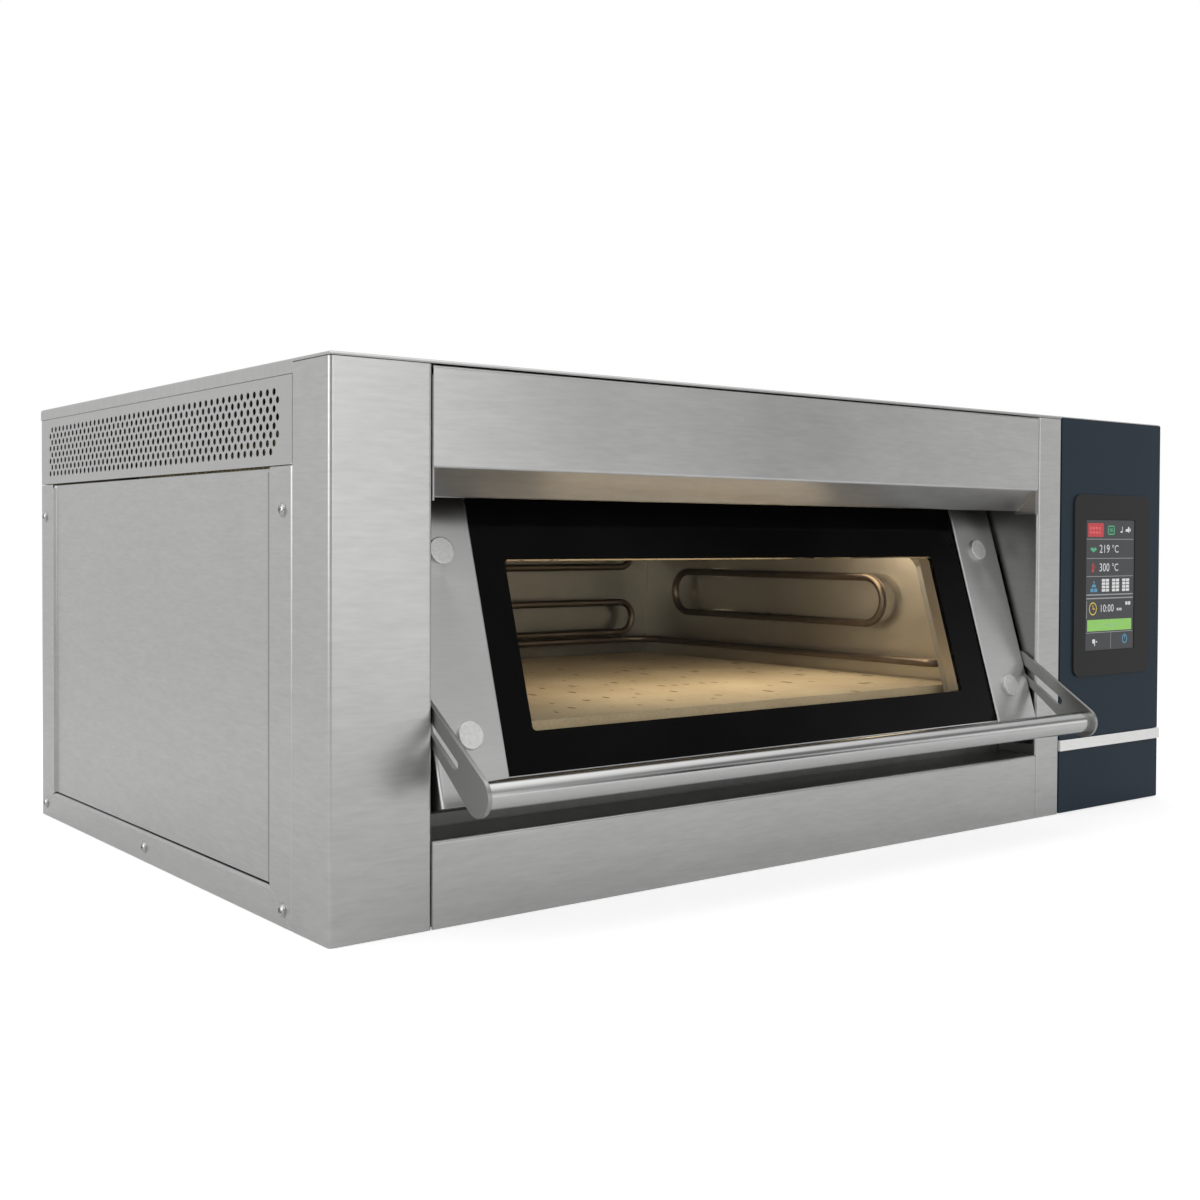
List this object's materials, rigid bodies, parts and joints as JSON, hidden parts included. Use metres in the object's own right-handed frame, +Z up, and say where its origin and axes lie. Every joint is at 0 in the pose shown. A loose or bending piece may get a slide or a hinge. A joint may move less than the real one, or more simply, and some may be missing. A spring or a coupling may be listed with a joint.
{
  "type": "deck oven",
  "caption": "Single bakery deck oven: folded steel cabinet, sloping glazed door hung at its top with a full-width tube handle, stone-floored chamber, side control column.",
  "frame": {"origin": "middle of the cabinet's flat base, on the surface it stands on", "axes": "+Z up, -Y out of the door towards the user, +X to the user's right, where the controls are"},
  "size_m": [1.0962, 0.7887, 0.44],
  "materials": {
    "casing_steel": "brushed stainless sheet, fine horizontal grain",
    "inner_steel": "plain galvanised sheet",
    "chamber_lining": "stainless lining browned a little by heat",
    "satin_steel": "satin polished stainless",
    "zinc_steel": "bright plated steel",
    "navy_paint": "satin powder coat",
    "bezel_plastic": "fine texture",
    "display_glass": "black display glass, lit",
    "circuit_board": "lacquered board",
    "light_plastic": "moulded switchgear",
    "black_plastic": "moulded",
    "fibre_seal": "woven glass fibre",
    "stone": "cast cordierite, sparse dark grains",
    "element_sheath": "heat-darkened sheath",
    "lamp_glass": "frosted",
    "mineral_wool": "compressed blanket",
    "bronze": "plain bearing",
    "black_glass": "printed black border, clear centre",
    "clear_glass": "clear"
  },
  "bodies": {
    "case": {"base_pan": "inner_steel", "leg_sockets": "zinc_steel", "left_post": "casing_steel", "right_post": "casing_steel", "header_panel": "casing_steel", "plinth_panel": "casing_steel", "roof_cover": "casing_steel", "left_side_panel": "casing_steel", "left_side_rail": "casing_steel", "left_vent_panel": "casing_steel", "right_side_panel": "casing_steel", "right_side_rail": "casing_steel", "right_vent_panel": "casing_steel", "back_panel": "casing_steel", "case_screws": "zinc_steel", "control_frame": "inner_steel", "upper_fascia": "navy_paint", "fascia_trim": "satin_steel", "lower_fascia": "navy_paint", "screen_bezel": "bezel_plastic", "touch_screen": "display_glass", "control_board": "circuit_board", "partition": "inner_steel", "contactors": "light_plastic", "cable_gland": "black_plastic", "chamber_front": "inner_steel", "chamber_sides": "chamber_lining", "chamber_rear": "chamber_lining", "chamber_ceiling": "chamber_lining", "chamber_floor": "inner_steel", "door_gasket": "fibre_seal", "baking_stone": "stone", "stone_bearers": "inner_steel", "rear_heaters": "element_sheath", "side_heaters": "element_sheath", "perimeter_heater": "element_sheath", "deck_heaters": "element_sheath", "heater_clips": "chamber_lining", "lamp_housing": "satin_steel", "lamp_lens": "lamp_glass", "temperature_probe": "satin_steel", "insulation": "mineral_wool", "hinge_brackets": "inner_steel", "hinge_bushes": "bronze", "flue_spigot": "satin_steel", "damper_motor": "black_plastic", "fan_housing": "black_plastic"},
    "door": {"left_door_strip": "casing_steel", "right_door_strip": "casing_steel", "door_rails": "inner_steel", "outer_glass": "black_glass", "glass_spacer": "chamber_lining", "inner_glass": "clear_glass", "door_back_frame": "inner_steel", "door_caps": "satin_steel", "handle_arms": "casing_steel", "handle_tube": "satin_steel", "hinge_pins": "zinc_steel"},
    "damper": {"damper_flap": "satin_steel"},
    "fan": {"fan_rotor": "black_plastic"}
  },
  "joints": [
    {"name": "door_hinge", "type": "hinge", "parent": "case", "child": "door", "pos_m": [0, -0.2598, 0.31561], "axis": [-1, 0, 0], "range_deg": [0, 66]},
    {"name": "steam_damper", "type": "hinge", "parent": "case", "child": "damper", "pos_m": [-0.145, 0.317, 0.285], "axis": [0, 0, 1], "range_deg": [0, 90]},
    {"name": "fan_spin", "type": "hinge", "parent": "case", "child": "fan", "pos_m": [0.4477, 0.2955, 0.3], "axis": [0, 1, 0], "continuous": true}
  ]
}
